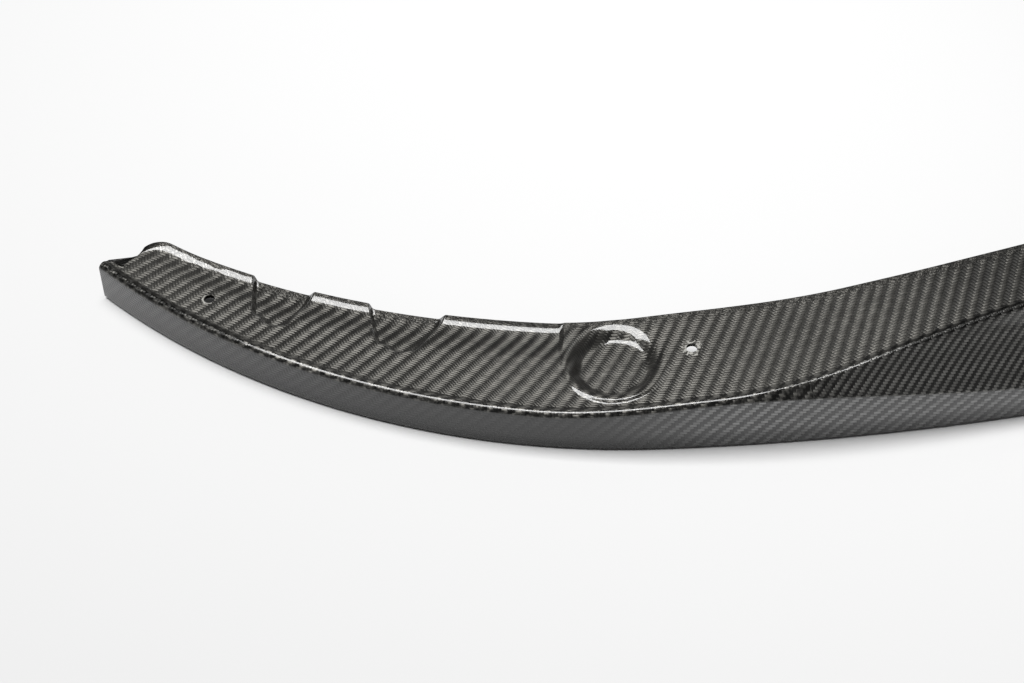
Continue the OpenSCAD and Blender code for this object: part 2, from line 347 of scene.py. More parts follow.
def top_height(d, n, level=0.0):
    """Height of the outer face with the dish. level takes the curl out of the recess floors."""
    along, r, facing = round_dish(d, n)
    crest = DISH_CREST - DISH_CREST_SHIFT * facing
    ring = RING_H * 0.7 * (1 + facing)
    u = unit((crest - r) / (crest - DISH_FLOOR_R))
    bowl = np.where(u < DISH_STEEP, u * u / DISH_STEEP, 1 - (1 - u) ** 2 / (1 - DISH_STEEP))
    dish = DISH_Z + along * DISH_GRADE + ring - (ring + DISH_DEPTH) * bowl
    return mix(dish, shelf_height(d, n, level), ease((r - crest) / RING_W))


def share_of(d, n):
    """The share of the shelf's depth at n, which is more than 1 on the curl."""
    front_n = wall_and_bead(d)[-1][0]
    return (n - front_n) / (shelf_far(d) - front_n)


def recess_line(k, side, inset, count):
    """Sections that lean along a wall of a recess."""
    front = recess_side(k, 0.0, side) - side * inset
    rear = recess_side(k, 1.0, side) - side * inset
    nose_share = share_of(np.array(front), recess_nose(k))
    rim_share = share_of(np.array(rear), recess_nose(k) + RECESS_LEN[k])
    return front, rear, float(nose_share), float(rim_share), count


def straight_line(d, count):
    return d, d, 0.0, 1.0, count


# Finer sections run from before to after the inner hole, and coarser ones from the ramp's end on
FINE_BAND = (INNER_HOLE[0] - 15, INNER_HOLE[0] + 21)
COARSE_FROM = RAMP_AT + RAMP_RUN + 14


def half_stations():
    """Lines of sections from the tip to the middle, as rows of distances from the tip at the bead and
    at the rear edge and the shares of the shelf between which the line leans over. The number that
    ends each line below is that of the sections from it to the next."""
    step_from, step_to = STEP_AT - STEP_LEN / 2, STEP_AT + STEP_LEN / 2
    lines = [
        (0.0, TIP_SETBACK, 0.0, 0.1, 18),
        straight_line(TIP_SETBACK + TIP_CORNER_R + 2, 26),
        recess_line(0, -1, 0.0, 6), recess_line(0, -1, RECESS_WALL_TIP, 18),
        recess_line(0, 1, RECESS_WALL_NOSE, 8), recess_line(0, 1, 0.0, 17),
        recess_line(1, -1, 0.0, 6), recess_line(1, -1, RECESS_WALL_TIP, 20),
        recess_line(1, 1, RECESS_WALL_NOSE, 8), recess_line(1, 1, 0.0, 26),
        straight_line(step_from, 6), straight_line(step_to, 64),
        straight_line(FINE_BAND[0], 16), straight_line(FINE_BAND[1], 60),
        straight_line(COARSE_FROM, 16), straight_line(HALF_LEN, 0)]
    rows = []
    for k, (line, after) in enumerate(zip(lines, lines[1:])):
        for i in range(line[4]):
            u = i / line[4]
            if k == 0:  # closer together at the tip's round corner
                u = 1 - math.cos(math.pi / 2 * u)
            rows.append([mix(a, b, u) for a, b in zip(line[:4], after[:4])])
    rows.append(lines[-1][:4])
    return np.array(rows).T


def leaning(line, u):
    front, rear, low, high = line
    return mix(front, rear, unit((u - low) / (high - low)))


def outer_face(line):
    """Columns of [d, n, z, slope] from the flange's edge to the rear edge."""
    d = leaning(line, 0.0)
    columns = [(d,) + p for p in foot(d) + wall_and_bead(d)]
    for k in range(1, SHELF_STEPS + 1):
        u = k / SHELF_STEPS
        d = leaning(line, u)
        n = mix(wall_and_bead(d)[-1][0], shelf_far(d), u)
        columns.append((d, n, top_height(d, n), 0.0 * n))
    rear_d = leaning(line, 1.0)
    rim = share_of(rear_d, depth_at(rear_d))
    for k in range(1, CURL_STEPS + 1):
        d = leaning(line, mix(1.0, rim, k / CURL_STEPS))
        a = curl_angle(d)
        slope = a * k / CURL_STEPS
        n = shelf_far(d) + CURL_R * CURL_SLOPE / a * np.sin(slope)
        columns.append((d, n, top_height(d, n), slope))
    return columns


def inner_column(column):
    d, n, z, a = column
    return d, n + SKIN_T * np.sin(a), z - SKIN_T * np.cos(a), a


def edge_cap(outer, inner, side):
    """The broken corners of a cut edge between the two faces. side is 1 at the rear edge."""
    d, n, z, a = outer
    _, m, y, _ = inner
    along = (side * EDGE_BREAK * np.cos(a), side * EDGE_BREAK * np.sin(a))
    down = (EDGE_BREAK * np.sin(a), -EDGE_BREAK * np.cos(a))
    return ((d, n - along[0], z - along[1], a), (d, n + down[0], z + down[1], a),
            (d, m - down[0], y - down[1], a), (d, m - along[0], y - along[1], a))


FOOT_COLUMNS = FOOT_STEPS + WALL_STEPS + 2
EDGE_FROM = FOOT_COLUMNS
RAMP_FROM = EDGE_FROM + EDGE_STEPS
CREST_FROM = RAMP_FROM + RAMP_STEPS
CREST_MIDDLE = CREST_FROM + CREST_STEPS * 2 // 3
SHELF_FROM = CREST_FROM + CREST_STEPS + BACK_STEPS
CURL_FROM = SHELF_FROM + SHELF_STEPS


def inner_picks(last):
    picks = [2, EDGE_FROM, EDGE_FROM + EDGE_STEPS // 2]
    picks += list(range(RAMP_FROM, CREST_FROM + 1, 3))
    picks += [CREST_FROM + CREST_STEPS // 2, CREST_FROM + CREST_STEPS]
    picks += list(range(SHELF_FROM, CURL_FROM, 3)) + [CURL_FROM, CURL_FROM + CURL_STEPS // 2]
    return sorted(set(p for p in picks if p < last))


def ring_columns(line):
    """All the columns of the shell's closed ring, and how many of them are on the outer face."""
    outer = outer_face(line)
    last = len(outer) - 1
    rear_cap = edge_cap(outer[last], inner_column(outer[last]), 1)
    front_cap = edge_cap(outer[0], inner_column(outer[0]), -1)
    face = [front_cap[1], front_cap[0]] + outer[1:last] + [rear_cap[0], rear_cap[1]]
    inner = [inner_column(outer[p]) for p in inner_picks(last)[::-1]]
    ring = face + [rear_cap[2], rear_cap[3]] + inner + [front_cap[3], front_cap[2]]
    return ring, len(face)


def front_y():
    """Where the lip's front edge lies at the middle of the car, in metres."""
    low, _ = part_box("splitter_lip")
    return low[1]


def shell_vertices():
    ring, face_count = ring_columns(half_stations())
    d, n, z = (np.stack([column[k] for column in ring], axis=1) for k in range(3))
    x, y = place(HALF_LEN - d, n)
    return d, n, z, x, y + front_y() / MM, face_count


def tow_angles(d):
    """Directions of the tows on the shelf, from the lip's own direction towards the rear edge.
    At the corner the lengthwise tows keep one direction in plan. At the nose they follow the lip."""
    along = TOW_PLAN + heading(HALF_LEN - d)
    along = along * (1 - ease((d - TOW_TURN_AT) / TOW_TURN_RUN))
    lean = np.interp(d, LEAN_AT, LEAN)
    return along, math.pi / 2 + np.radians(lean)


def running_sum(values, places):
    steps = np.diff(places) * (values[1:] + values[:-1]) / 2
    return np.concatenate([[0.0], np.cumsum(steps)])


def cloth_map(d, n, z, face_count):
    """Where each vertex lies in the cloth, in tows along and across. The sheets meet at the bead."""
    line = d[:, SHELF_FROM]
    along, across = tow_angles(line)
    skew = np.sin(across - along)
    scale = 1 - SHELF_MIDDLE / np.where(line > CORNER_R * CORNER_ANGLE, NOSE_R, CORNER_R)
    i_line = running_sum(scale * np.sin(across) / (TOW * skew), line)
    j_line = running_sum(-scale * np.sin(along) / (TOW * skew), line)
    i_line, j_line = i_line - i_line[-1], j_line - j_line[-1]

    gap = np.hypot(np.diff(n, axis=1), np.diff(z, axis=1))
    w = np.concatenate([np.zeros((len(d), 1)), np.cumsum(gap, axis=1)], axis=1)
    w_ring = w - w[:, SHELF_FROM:SHELF_FROM + 1]
    column = np.arange(d.shape[1])
    on_shelf = (column >= SHELF_FROM) & (column < face_count)
    w_shelf = np.where(on_shelf, n - wall_and_bead(d)[-1][0], w_ring)
    along, across = tow_angles(d)
    skew = TOW * np.sin(across - along)
    top_i = np.interp(d, line, i_line) - w_shelf * np.cos(across) / skew
    top_j = np.interp(d, line, j_line) + w_shelf * np.cos(along) / skew

    front_i = (d - HALF_LEN) / TOW - w / TOW * math.cos(WALL_LEAN)
    front_j = w / TOW
    return (top_i, top_j), (front_i, front_j)


def both_halves(values, sign=1.0):
    """The sections from the left tip to the middle, and back out to the right tip."""
    return np.concatenate([values, sign * values[-2::-1]])


def edge_distances(d, n, face_count):
    """Distances on the outer face from the rear edge and from the bead's crest."""
    on_face = np.arange(d.shape[1]) < face_count
    from_rim = np.where(on_face, depth_at(d) - n, 0.0)
    from_crest = np.where(on_face, n - n[:, CREST_MIDDLE:CREST_MIDDLE + 1], FAR_FROM_CREST)
    return both_halves(from_rim), both_halves(from_crest)


def add_uv(mesh, name, u, v):
    layer = mesh.uv_layers.new(name=name)
    layer.data.foreach_set("uv", np.stack([u, v], axis=-1).astype(np.float32).ravel())


def build_shell():
    """The shell as rings of vertices, with its places in the cloth and from its edges as UV maps."""
    d, n, z, x, y, face_count = shell_vertices()
    rings = np.stack([both_halves(-x, -1.0), both_halves(y), both_halves(z)], axis=-1) * MM
    total, cols, _ = rings.shape
    row, col = np.meshgrid(np.arange(total - 1), np.arange(cols), indexing="ij")
    after = (col + 1) % cols
    rows = np.stack([row, row, row + 1, row + 1], axis=-1)
    corners = np.stack([col, after, after, col], axis=-1)
    mesh = bpy.data.meshes.new("lip_shell")
    mesh.from_pydata(rings.reshape(-1, 3).tolist(), [], (rows * cols + corners).reshape(-1, 4).tolist())

    own = np.where((after == 0)[..., None], cols - 1, corners)
    top, front = cloth_map(d, n, z, face_count)
    front_sheet = (col <= CREST_MIDDLE)[..., None]
    i = np.where(front_sheet, both_halves(front[0], -1.0)[rows, own] + FRONT_SHIFT,
                 both_halves(top[0], -1.0)[rows, own])
    j = np.where(front_sheet, both_halves(front[1])[rows, own], both_halves(top[1])[rows, own])
    from_rim, from_crest = edge_distances(d, n, face_count)
    add_uv(mesh, "cloth", i, j)
    add_uv(mesh, "rim", from_rim[rows, own], from_crest[rows, own])
    cap_ends(mesh, cols, total)
    mesh.update()
    return mesh


def cap_ends(mesh, cols, total):
    """Closes the shell at its two tips."""
    bm = bmesh.new()
    bm.from_mesh(mesh)
    bm.verts.ensure_lookup_table()
    layer = bm.loops.layers.uv["cloth"]
    for first in (0, (total - 1) * cols):
        ring = [bm.verts[first + k] for k in range(cols)]
        edges = [bm.edges.get((ring[k], ring[(k + 1) % cols])) for k in range(cols)]
        made = bmesh.ops.triangle_fill(bm, use_beauty=True, use_dissolve=False, edges=edges)
        for f in made["geom"]:
            if isinstance(f, bmesh.types.BMFace):
                for loop in f.loops:
                    loop[layer].uv = (loop.vert.co.y / (TOW * MM), loop.vert.co.z / (TOW * MM))
    bmesh.ops.recalc_face_normals(bm, faces=bm.faces)
    bm.to_mesh(mesh)
    bm.free()


def hole_place(hole, side):
    """The middle of a screw hole in metres. side is 1 on the right."""
    d, n = hole
    x, y = place(np.array(HALF_LEN - d), n)
    return side * float(x) * MM, float(y) * MM + front_y(), shelf_at(d, n) * MM


def hole_cutter(hole, side):
    bm = bmesh.new()
    bmesh.ops.create_cone(bm, cap_ends=True, segments=HOLE_SEGMENTS, radius1=HOLE_R * MM,
                          radius2=HOLE_R * MM, depth=CUTTER_H * MM)
    bmesh.ops.translate(bm, verts=bm.verts, vec=hole_place(hole, side))
    mesh = bpy.data.meshes.new("hole_cutter")
    bm.to_mesh(mesh)
    bm.free()
    cutter = bpy.data.objects.new("hole_cutter", mesh)
    bpy.context.scene.collection.objects.link(cutter)
    return cutter


def cut_holes(shell):
    cutters = [hole_cutter(hole, side) for hole in (OUTER_HOLE, INNER_HOLE) for side in (-1, 1)]
    for cutter in cutters:
        cut = shell.modifiers.new("hole", "BOOLEAN")
        cut.operation = "DIFFERENCE"
        cut.solver = "EXACT"
        cut.object = cutter
    graph = bpy.context.evaluated_depsgraph_get()
    mesh = bpy.data.meshes.new_from_object(shell.evaluated_get(graph))
    shell.modifiers.clear()
    old = shell.data
    shell.data = mesh
    bpy.data.meshes.remove(old)
    for cutter in cutters:
        data = cutter.data
        bpy.data.objects.remove(cutter)
        bpy.data.meshes.remove(data)


def station_of(x, y):
    """The distances from the tip and in from the front edge of a plan place on the right half."""
    cx = (NOSE_R - CORNER_R) * math.sin(NOSE_ANGLE)
    cy = NOSE_R - (NOSE_R - CORNER_R) * math.cos(NOSE_ANGLE)
    turn = np.arctan2(x - cx, cy - y)
    on_corner = turn > NOSE_ANGLE
    s = np.where(on_corner, NOSE_LEN + (turn - NOSE_ANGLE) * CORNER_R, NOSE_R * np.arctan2(x, NOSE_R - y))
    n = np.where(on_corner, CORNER_R - np.hypot(x - cx, y - cy), NOSE_R - np.hypot(x, y - NOSE_R))
    return HALF_LEN - s, n


def top_point(d, n):
    return np.stack(place(HALF_LEN - d, n) + (top_height(d, n, RECESS_LEVEL),), axis=-1)


def top_normals(d, n):
    """Normals of the outer face of the right half behind the bead, levelled in the dish."""
    along = top_point(d - NORMAL_STEP, n) - top_point(d + NORMAL_STEP, n)
    back = top_point(d, n + NORMAL_STEP) - top_point(d, n - NORMAL_STEP)
    normals = np.cross(along, back)
    _, r, _ = round_dish(d, n)
    in_dish = 1 - ease((r - DISH_LEVEL_R) / DISH_LEVEL_RUN)
    lift = DISH_LEVEL * DISH_GRADE * in_dish * normals[:, 2]
    normals[:, 0] += lift * math.cos(DISH_TURN)
    normals[:, 1] += lift * math.sin(DISH_TURN)
    return normals / np.linalg.norm(normals, axis=-1, keepdims=True)


def mesh_values(items, name, width=1, kind=float):
    values = np.empty(len(items) * width, dtype=kind)
    items.foreach_get(name, values)
    return values.reshape(-1, width) if width > 1 else values


def smooth_top(mesh):
    """Gives the pressed forms behind the bead their exact normals. The rest keeps its own."""
    points = mesh_values(mesh.vertices, "co", 3) / MM
    d, n = station_of(np.abs(points[:, 0]), points[:, 1] - front_y() / MM)
    on_top = np.abs(points[:, 2] - top_height(d, n)) < ON_TOP_WITHIN
    on_top &= n > wall_and_bead(d)[-1][0] - ON_TOP_WITHIN / 3
    normals = top_normals(d, n)
    normals[:, 0] *= np.where(points[:, 0] < 0, -1.0, 1.0)
    vertex = mesh_values(mesh.loops, "vertex_index", kind=np.int32)
    sizes = mesh_values(mesh.polygons, "loop_total", kind=np.int32)
    flat = np.repeat(mesh_values(mesh.polygons, "normal", 3), sizes, axis=0)
    facing = np.sum(flat * normals[vertex], axis=1) > SAME_WAY
    chosen = np.where((on_top[vertex] & facing)[:, None], normals[vertex], 0.0)
    mesh.normals_split_custom_set(chosen.tolist())


class Nodes:
    """A short way to write a material's nodes."""

    def __init__(self, tree):
        self.tree = tree

    def add(self, kind, **settings):
        node = self.tree.nodes.new(kind)
        for key, value in settings.items():
            setattr(node, key, value)
        return node

    def join(self, source, socket):
        if hasattr(source, "links"):
            self.tree.links.new(source, socket)
        else:
            socket.default_value = source

    def math(self, operation, a, b=0.0, c=0.0):
        node = self.add("ShaderNodeMath", operation=operation)
        for value, socket in zip((a, b, c), node.inputs):
            self.join(value, socket)
        return node.outputs[0]

    def times(self, *values):
        product = values[0]
        for value in values[1:]:
            product = self.math("MULTIPLY", product, value)
        return product

    def plus(self, *values):
        total = values[0]
        for value in values[1:]:
            total = self.math("ADD", total, value)
        return total

    def line(self, value, slope, start):
        return self.math("MULTIPLY_ADD", value, slope, start)

    def flip(self, value):
        return self.math("SUBTRACT", 1.0, value)

    def above(self, value, limit):
        return self.math("GREATER_THAN", value, limit)

    def from_middle(self, value):
        """1 at the ends of the range from 0 to 1, and 0 in its middle."""
        return self.math("ABSOLUTE", self.line(value, 2.0, -1.0))

    def mix(self, share, a, b, kind="FLOAT"):
        node = self.add("ShaderNodeMix", data_type=kind)
        first, second, result = {"FLOAT": (2, 3, 0), "RGBA": (6, 7, 2)}[kind]
        self.join(share, node.inputs[0])
        self.join(a, node.inputs[first])
        self.join(b, node.inputs[second])
        return node.outputs[result]

    def ramp(self, value, low, high):
        node = self.add("ShaderNodeMapRange", interpolation_type="SMOOTHSTEP")
        self.join(value, node.inputs["Value"])
        node.inputs["From Min"].default_value = low
        node.inputs["From Max"].default_value = high
        return node.outputs["Result"]

    def noise(self, at, scale, detail=2.0):
        node = self.add("ShaderNodeTexNoise")
        self.join(at, node.inputs["Vector"])
        node.inputs["Scale"].default_value = scale
        node.inputs["Detail"].default_value = detail
        return node.outputs["Fac"]

    def vector(self, x, y):
        node = self.add("ShaderNodeCombineXYZ")
        self.join(x, node.inputs[0])
        self.join(y, node.inputs[1])
        return node.outputs[0]

    def parts(self, vector):
        node = self.add("ShaderNodeSeparateXYZ")
        self.join(vector, node.inputs[0])
        return node.outputs[0], node.outputs[1], node.outputs[2]

    def scaled(self, vector, factor):
        node = self.add("ShaderNodeVectorMath", operation="SCALE")
        self.join(vector, node.inputs[0])
        self.join(factor, node.inputs["Scale"])
        return node.outputs[0]

    def uv(self, name):
        return self.add("ShaderNodeUVMap", uv_map=name).outputs["UV"]

    def bump(self, height, strength, distance):
        node = self.add("ShaderNodeBump")
        node.inputs["Strength"].default_value = strength
        node.inputs["Distance"].default_value = distance
        self.join(height, node.inputs["Height"])
        return node.outputs[0]


# Cloth: the frayed band at the rear edge, its dark line, and the finer cloth on the ramp
FRAY_BAND = (2.0, 8.0)
FRAY_SCALE = 0.9
FRAY_SHIFT = (2.6, -1.9)
RIM_LINE = (0.4, 1.1)
RIM_LINE_SHADE = 0.25
RAMP_FINER = 1.4
RAMP_CLOTH_TO = 0.47
RAMP_CLOTH_UPWARD = 0.3
OTHER_TOWS = 500.5


def twill(g, normal_z, out):
    """Masks and local places of a 2x2 twill: which tow is on top, and where on its float."""
    from_rim, from_crest, _ = g.parts(g.uv("rim"))
    cloth = g.uv("cloth")
    cloth_i, cloth_j, _ = g.parts(cloth)
    front = g.above(cloth_i, FRONT_SHIFT / 2)
    frayed = g.flip(g.ramp(from_rim, *FRAY_BAND))
    loose = g.times(g.line(g.noise(cloth, FRAY_SCALE), 2.0, -1.0), frayed)
    on_ramp = g.times(front, g.above(normal_z, RAMP_CLOTH_UPWARD), g.math("LESS_THAN", out, RAMP_CLOTH_TO))
    finer = g.line(on_ramp, RAMP_FINER - 1, 1.0)
    i = g.times(g.plus(cloth_i, g.times(loose, FRAY_SHIFT[0])), finer)
    j = g.times(g.plus(cloth_j, g.times(loose, FRAY_SHIFT[1])), finer)
    i_whole, j_whole = g.math("FLOOR", i), g.math("FLOOR", j)
    i_rest, j_rest = g.math("FRACT", i), g.math("FRACT", j)
    cell = g.math("FLOORED_MODULO", g.math("SUBTRACT", i_whole, j_whole), 4.0)
    cross = g.above(cell, 1.5)
    lengthwise = g.math("DIVIDE", g.plus(cell, i_rest), 2.0)
    crosswise = g.math("DIVIDE", g.plus(g.math("SUBTRACT", 3.0, cell), j_rest), 2.0)
    weave = {
        "i": i, "j": j, "front": front, "cross": cross,
        "along": g.mix(cross, lengthwise, crosswise),
        "across": g.mix(cross, j_rest, i_rest),
        "tow": g.mix(cross, g.plus(j_whole, 0.5), g.plus(i_whole, OTHER_TOWS)),
        "off_rim": g.ramp(from_rim, *RIM_LINE),
        "from_crest": from_crest}
    crown = hump(g, weave["across"], 2.5)
    dive = hump(g, weave["along"], 3.0)
    weave["height"] = g.times(crown, g.line(dive, 0.7, 0.3))
    return weave


def hump(g, value, power):
    """0 at 0 and 1, and 1 in the middle."""
    return g.flip(g.math("POWER", g.from_middle(value), power))


# Masks: distances across from the middle of the car in metres, parts of 1 that a face looks
# up, and millimetres from the bead's crest, each as the two ends of a soft step
UPRIGHT = (0.1, 0.4)
CORNER_FROM = (0.42, 0.50)
TIP_FROM = (0.70, 0.74)
PLAIN_WALL = (0.50, 0.60)
CREST_REACH = (2.6, 3.8)
CREST_UPWARD = (0.60, 0.80)
DIM_CREST_TIP_FROM = (0.725, 0.755)
DIM_CREST_NOSE_TO = (0.40, 0.46)
# painted light: where along the lip the pale wales grow wider or narrower and the crosswise tows are painted
# lighter, as the sheen falls
WIDE_PALE_FROM = (0.35, 0.40)
WIDE_PALE_TO = (0.52, 0.62)
NARROW_PALE_TO = (0.24, 0.35)
CROSS_LIT = (0.36, 0.70)
CROSS_LIT_TIP = (0.70, 0.80)
# Height up to which the painted shade at the wall's foot fades out
WALL_FADE_TO = 27.0


def masks(g, weave, normal_z, out, height):
    """Masks of the parts of the lip, and how the painted light and shade of the wales change along it."""
    front = weave["front"]
    upright = g.flip(g.ramp(normal_z, *UPRIGHT))
    corner = g.ramp(out, *CORNER_FROM)
    by_crest = g.flip(g.ramp(g.math("ABSOLUTE", weave["from_crest"]), *CREST_REACH))
    # painted shade: near the tip and towards the nose the bead's crest is painted darker, with a thinner and
    # grainier coat, to dim its highlight
    dim_crest_ends = g.math("MAXIMUM", g.ramp(out, *DIM_CREST_TIP_FROM), g.flip(g.ramp(out, *DIM_CREST_NOSE_TO)))
    wide_pale = g.times(g.ramp(out, *WIDE_PALE_FROM), g.flip(g.ramp(out, *WIDE_PALE_TO)))
    cross_shade = g.line(g.ramp(out, *CROSS_LIT), 1.35, 0.45)
    return {
        "upright": upright,
        "high": g.ramp(height, 0.0, WALL_FADE_TO * MM),
        "bead": g.times(front, corner, g.flip(upright)),
        "ramp": g.times(front, g.flip(g.math("MAXIMUM", upright, corner))),
        "tip_shelf": g.times(g.ramp(out, *TIP_FROM), g.flip(front)),
        "dim_crest": g.times(by_crest, g.ramp(normal_z, *CREST_UPWARD), dim_crest_ends),
        "plain": g.ramp(out, *PLAIN_WALL),
        "dark_reach": g.line(wide_pale, -0.35, 1.01),
        "pale_reach": g.line(g.ramp(out, *NARROW_PALE_TO), 0.46, 0.55),
        "cross_shade": g.line(g.ramp(out, *CROSS_LIT_TIP), 2.1, cross_shade)}


# Colours of the tows along the lip and across it on the shelf, the wall and the ramp
# painted light: the pale and the dark colour of each pair are lit and shaded copies of the same fibre,
# standing in for the sheen that each tow direction catches; the shader's streaked sheen adds real light on
# top
TOP_LIT_AND_SHADED = ((0.092, 0.089, 0.081, 1.0), (0.040, 0.039, 0.036))
WALL_LIT_AND_SHADED = ((0.250, 0.250, 0.248, 1.0), (0.044, 0.044, 0.044, 1.0))
RAMP_LIT_AND_SHADED = ((0.240, 0.236, 0.224, 1.0), (0.060, 0.059, 0.056, 1.0))

# The plain wall towards the tip, where the painted contrast between the tows fades out, the painted shade at
# the wall's foot in the patterned and the plain part, and the painted shade on the dimmed crest
PLAIN_COLOUR = (0.024, 0.024, 0.024, 1.0)
PLAIN_SHARE = 0.85
PLAIN_SHADE = 0.72
WALL_FOOT_PAINTED_SHADE = (0.42, 0.05)
CREST_PAINTED_SHADE = 0.3
PATCH_SCALE = 300.0
PATCH_EDGE = (0.42, 0.62)

# Fibres: their grain along and across a tow, in waves to a tow
FIBRE_LONG = 0.7
FIBRE_FINE = 12.0


def shelf_colour(g, weave, zones):
    """Pale lengthwise floats and dark crosswise ones, painted as lit and shaded copies of one fibre. Ends of
    floats that take the other colour make the pale wales wider or narrower along the lip, which paints how
    the sheen falls there."""
    # painted light: the crosswise tows' shaded colour is lit up more towards the tip
    dark = g.scaled(TOP_LIT_AND_SHADED[1], zones["cross_shade"])
    end = g.from_middle(weave["along"])
    dark_crosswise = g.flip(g.above(end, zones["dark_reach"]))
    dark_lengthwise = g.above(end, zones["pale_reach"])
    return g.mix(g.mix(weave["cross"], dark_lengthwise, dark_crosswise), TOP_LIT_AND_SHADED[0], dark, "RGBA")


def fibre_shade(g, weave):
    """Brightness from tow to tow and from fibre to fibre, and painted shade towards the sides and the ends
    of a tow, where the weave dips.
    """
    number = g.add("ShaderNodeTexWhiteNoise", noise_dimensions="1D")
    g.join(weave["tow"], number.inputs["W"])
    tow_shade = g.line(number.outputs["Value"], 0.4, 0.8)
    i, j = weave["i"], weave["j"]
    lengthwise = g.noise(g.vector(g.times(i, FIBRE_LONG), g.times(j, FIBRE_FINE)), 1.0)
    crosswise = g.noise(g.vector(g.times(i, FIBRE_FINE), g.times(j, FIBRE_LONG)), 1.0)
    strand = g.line(g.mix(weave["cross"], lengthwise, crosswise), 1.5, 0.25)
    # painted shade in the weave's dips
    return g.times(tow_shade, strand, g.line(weave["height"], 0.55, 0.45))


def cloth_colour(g, weave, zones, at):
    plain = g.times(zones["plain"], PLAIN_SHARE)
    # painted light: lit and shaded copies of the tows on the wall and the ramp
    wall, ramp = (g.mix(weave["cross"], *pair, "RGBA") for pair in (WALL_LIT_AND_SHADED, RAMP_LIT_AND_SHADED))
    wall = g.mix(plain, wall, PLAIN_COLOUR, "RGBA")
    above_wall = g.mix(zones["ramp"], shelf_colour(g, weave, zones), ramp, "RGBA")
    colour = g.mix(zones["upright"], above_wall, wall, "RGBA")

    # painted shade: the wall darkens towards its foot, for the darker floor near the contact shadow that it
    # reflects there
    foot = g.mix(zones["high"], g.mix(zones["plain"], *WALL_FOOT_PAINTED_SHADE), 1.0)
    patches = g.line(g.ramp(g.noise(at, PATCH_SCALE, 3.0), *PATCH_EDGE), 1.2, 0.25)
    rim = g.mix(weave["off_rim"], RIM_LINE_SHADE, 1.0)
    shade = g.times(
        g.mix(zones["upright"], 1.0, foot),
        g.mix(zones["bead"], 1.0, patches),
        g.mix(g.times(zones["upright"], plain), fibre_shade(g, weave), PLAIN_SHADE),
        g.mix(weave["front"], rim, 1.0),
        # painted shade on the bead's crest
        g.mix(zones["dim_crest"], 1.0, CREST_PAINTED_SHADE))
    return g.scaled(colour, shade)


# Clear coat: scale and height of its slow waves, of those near the tip and of the grain on the dimmed crest
WAVES = (28.0, 3.0)
TIP_WAVES = (62.0, 9.0)
DIM_CREST_GRAIN = (420.0, 5.0)
PRINT_THROUGH = 0.02
COAT_ROUGHNESS = 0.03
COAT_IOR = 1.51
DIM_CREST_COAT_LOSS = 0.9


def coat_height(g, weave, zones, at):
    waves = g.times(g.noise(at, WAVES[0], 1.0), WAVES[1])
    tip_waves = g.times(g.noise(at, TIP_WAVES[0], 1.0), zones["tip_shelf"], TIP_WAVES[1])
    grain = g.times(g.noise(at, DIM_CREST_GRAIN[0]), zones["dim_crest"], DIM_CREST_GRAIN[1])
    return g.plus(waves, tip_waves, grain, g.times(weave["height"], PRINT_THROUGH))


# Chipped coat round the two holes of the side that the photograph shows
CHIP_COLOUR = (0.32, 0.315, 0.29, 1.0)
CHIP_SCALE = 430.0
CHIP_EDGE = (0.47, 0.57)
INNER_CHIPS = 2.9
OUTER_CHIPS = 0.6
OUTER_CHIPS_SHIFT = (-0.7, -0.2)


def chipped(g, at, centre, reach):
    """1 where the coat is chipped off in ragged patches round a hole."""
    away = g.add("ShaderNodeVectorMath", operation="DISTANCE")
    g.join(at, away.inputs[0])
    away.inputs[1].default_value = centre
    ragged = g.ramp(g.noise(at, CHIP_SCALE, 3.0), *CHIP_EDGE)
    return g.math("LESS_THAN", away.outputs["Value"], g.line(ragged, reach * MM, HOLE_R * MM))


def all_chips(g, at):
    x, y, z = hole_place(OUTER_HOLE, -1)
    shifted = (x + OUTER_CHIPS_SHIFT[0] * MM, y + OUTER_CHIPS_SHIFT[1] * MM, z)
    inner = chipped(g, at, hole_place(INNER_HOLE, -1), INNER_CHIPS)
    return g.math("MAXIMUM", inner, chipped(g, at, shifted, OUTER_CHIPS))


# The cloth's reflection: its own share and the share of chipped spots, and the turn of its streak
METAL = (0.85, 0.0)
ROUGHNESS = (0.42, 0.8)
ANISOTROPY = 0.8
STREAK_TURN = (0.25, 0.59)
CLOTH_BUMP = (0.8, 0.28)
COAT_BUMP = (0.5, 0.2)


